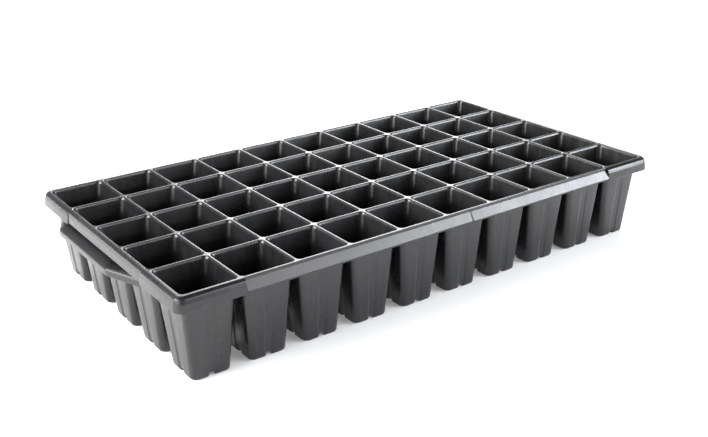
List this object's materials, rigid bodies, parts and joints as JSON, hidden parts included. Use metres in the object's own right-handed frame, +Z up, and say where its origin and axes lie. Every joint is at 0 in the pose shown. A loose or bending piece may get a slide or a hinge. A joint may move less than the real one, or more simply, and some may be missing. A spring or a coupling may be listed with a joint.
{
  "type": "plug tray",
  "caption": "Rectangular moulded seedling tray: a grid of square-topped tapered drained cells joined by ridges, with a turned-down rim and end grips.",
  "frame": {"origin": "on the surface the tray stands on, below the centre of its box", "axes": "+X along the long side, +Y across the tray, +Z up out of the cells"},
  "size_m": [0.525, 0.2846, 0.08],
  "materials": {
    "tray_plastic": "black moulded polypropylene, satin to glossy"
  },
  "bodies": {
    "root": {"cell_r1_c01": "tray_plastic", "cell_r1_c02": "tray_plastic", "cell_r1_c03": "tray_plastic", "cell_r1_c04": "tray_plastic", "cell_r1_c05": "tray_plastic", "cell_r1_c06": "tray_plastic", "cell_r1_c07": "tray_plastic", "cell_r1_c08": "tray_plastic", "cell_r1_c09": "tray_plastic", "cell_r1_c10": "tray_plastic", "cell_r2_c01": "tray_plastic", "cell_r2_c02": "tray_plastic", "cell_r2_c03": "tray_plastic", "cell_r2_c04": "tray_plastic", "cell_r2_c05": "tray_plastic", "cell_r2_c06": "tray_plastic", "cell_r2_c07": "tray_plastic", "cell_r2_c08": "tray_plastic", "cell_r2_c09": "tray_plastic", "cell_r2_c10": "tray_plastic", "cell_r3_c01": "tray_plastic", "cell_r3_c02": "tray_plastic", "cell_r3_c03": "tray_plastic", "cell_r3_c04": "tray_plastic", "cell_r3_c05": "tray_plastic", "cell_r3_c06": "tray_plastic", "cell_r3_c07": "tray_plastic", "cell_r3_c08": "tray_plastic", "cell_r3_c09": "tray_plastic", "cell_r3_c10": "tray_plastic", "cell_r4_c01": "tray_plastic", "cell_r4_c02": "tray_plastic", "cell_r4_c03": "tray_plastic", "cell_r4_c04": "tray_plastic", "cell_r4_c05": "tray_plastic", "cell_r4_c06": "tray_plastic", "cell_r4_c07": "tray_plastic", "cell_r4_c08": "tray_plastic", "cell_r4_c09": "tray_plastic", "cell_r4_c10": "tray_plastic", "cell_r5_c01": "tray_plastic", "cell_r5_c02": "tray_plastic", "cell_r5_c03": "tray_plastic", "cell_r5_c04": "tray_plastic", "cell_r5_c05": "tray_plastic", "cell_r5_c06": "tray_plastic", "cell_r5_c07": "tray_plastic", "cell_r5_c08": "tray_plastic", "cell_r5_c09": "tray_plastic", "cell_r5_c10": "tray_plastic", "rim_front": "tray_plastic", "rim_back": "tray_plastic", "rim_left": "tray_plastic", "rim_right": "tray_plastic", "corner_front_left": "tray_plastic", "corner_front_right": "tray_plastic", "corner_back_left": "tray_plastic", "corner_back_right": "tray_plastic", "grip_left": "tray_plastic", "grip_right": "tray_plastic"}
  },
  "joints": []
}
